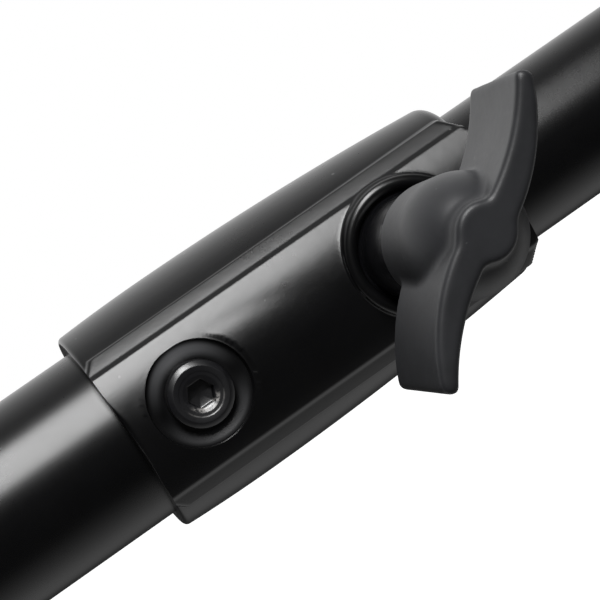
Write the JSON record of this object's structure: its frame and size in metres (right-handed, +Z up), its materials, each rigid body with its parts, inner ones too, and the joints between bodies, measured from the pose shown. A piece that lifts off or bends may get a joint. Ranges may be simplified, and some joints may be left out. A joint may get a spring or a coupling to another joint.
{
  "type": "wall boom arm",
  "caption": "Telescopic boom arm on a wall bracket: it swivels and tilts, slides out through a clamp collar with a wing knob, and ends in a spigot with a threaded tip.",
  "frame": {"origin": "centre of the four wall holes on the back face of the wall plate, where the arm meets the wall", "axes": "+X out of the wall along the boom, +Z up, and the collar's pad and the knobs face -Y"},
  "size_m": [0.709, 0.1066, 0.17],
  "materials": {
    "bracket_black": "satin black powder coat",
    "casting_black": "satin black powder coat over a casting",
    "tube_black": "smooth satin black paint",
    "collar_black": "glossy black paint with a slight orange peel",
    "screw_black": "blackened steel, worn bright at the socket",
    "knob_plastic": "matte dark grey moulded plastic",
    "nylon": "natural nylon",
    "zinc_steel": "bright zinc plate",
    "bronze": "sintered bronze",
    "brass": "turned brass",
    "friction_fibre": "pressed friction fibre",
    "plug_black": "black anodised",
    "spigot_chrome": "bright nickel plate"
  },
  "bodies": {
    "wall_bracket": {"wall_plate": "bracket_black", "bracket_lugs": "bracket_black", "lug_bushes": "nylon", "swivel_bolt": "zinc_steel", "swivel_washers": "zinc_steel", "swivel_nut": "zinc_steel"},
    "yoke": {"swivel_yoke": "casting_black", "yoke_bushes": "bronze", "tilt_bolt": "zinc_steel"},
    "swivel_lock": {"swivel_shoe": "brass"},
    "swivel_grip": {"swivel_stud": "zinc_steel", "swivel_knob": "knob_plastic"},
    "tilt_lock": {"tilt_washer": "zinc_steel"},
    "tilt_grip": {"tilt_insert": "brass", "tilt_knob": "knob_plastic"},
    "boom": {"boom_socket": "casting_black", "friction_discs": "friction_fibre", "socket_screws": "screw_black", "outer_tube": "tube_black", "collar_body": "collar_black", "collar_screw": "screw_black", "reducer_bush": "nylon", "clamp_boss": "collar_black"},
    "clamp_lock": {"clamp_shoe": "brass"},
    "clamp_grip": {"clamp_stud": "zinc_steel", "clamp_knob": "knob_plastic"},
    "inner_boom": {"inner_tube": "tube_black", "inner_guide": "nylon", "guide_rivets": "zinc_steel", "end_plug": "plug_black", "plug_pin": "zinc_steel", "end_spigot": "spigot_chrome", "tip_stud": "spigot_chrome"}
  },
  "joints": [
    {"name": "swivel", "type": "hinge", "parent": "wall_bracket", "child": "yoke", "pos_m": [0.072, 0, 0], "axis": [0, 0, 1], "range_deg": [-85, 85]},
    {"name": "tilt", "type": "hinge", "parent": "yoke", "child": "boom", "pos_m": [0.124, 0, 0], "axis": [0, -1, 0], "range_deg": [-60, 75]},
    {"name": "extend", "type": "slide", "parent": "boom", "child": "inner_boom", "axis": [1, 0, 0], "range_m": [-0.0595, 0.27]},
    {"name": "clamp_travel", "type": "slide", "parent": "boom", "child": "clamp_lock", "axis": [0, -1, 0], "range_m": [0, 0.002]},
    {"name": "clamp_turn", "type": "hinge", "parent": "clamp_lock", "child": "clamp_grip", "pos_m": [0.5784, 0, 0], "axis": [0, -1, 0], "range_deg": [0, 450]},
    {"name": "swivel_lock_travel", "type": "slide", "parent": "yoke", "child": "swivel_lock", "axis": [0, -1, 0], "range_m": [0, 0.002]},
    {"name": "swivel_lock_turn", "type": "hinge", "parent": "swivel_lock", "child": "swivel_grip", "pos_m": [0.072, 0, 0], "axis": [0, -1, 0], "range_deg": [0, 450]},
    {"name": "tilt_lock_travel", "type": "slide", "parent": "yoke", "child": "tilt_lock", "axis": [0, -1, 0], "range_m": [0, 0.003]},
    {"name": "tilt_lock_turn", "type": "hinge", "parent": "tilt_lock", "child": "tilt_grip", "pos_m": [0.124, 0, 0], "axis": [0, -1, 0], "range_deg": [0, 450]}
  ],
  "couplings": [
    {"joint": "clamp_travel", "follows": "clamp_turn", "m_per_rad": 0.00019894},
    {"joint": "swivel_lock_travel", "follows": "swivel_lock_turn", "m_per_rad": 0.00019894},
    {"joint": "tilt_lock_travel", "follows": "tilt_lock_turn", "m_per_rad": 0.00023873}
  ]
}
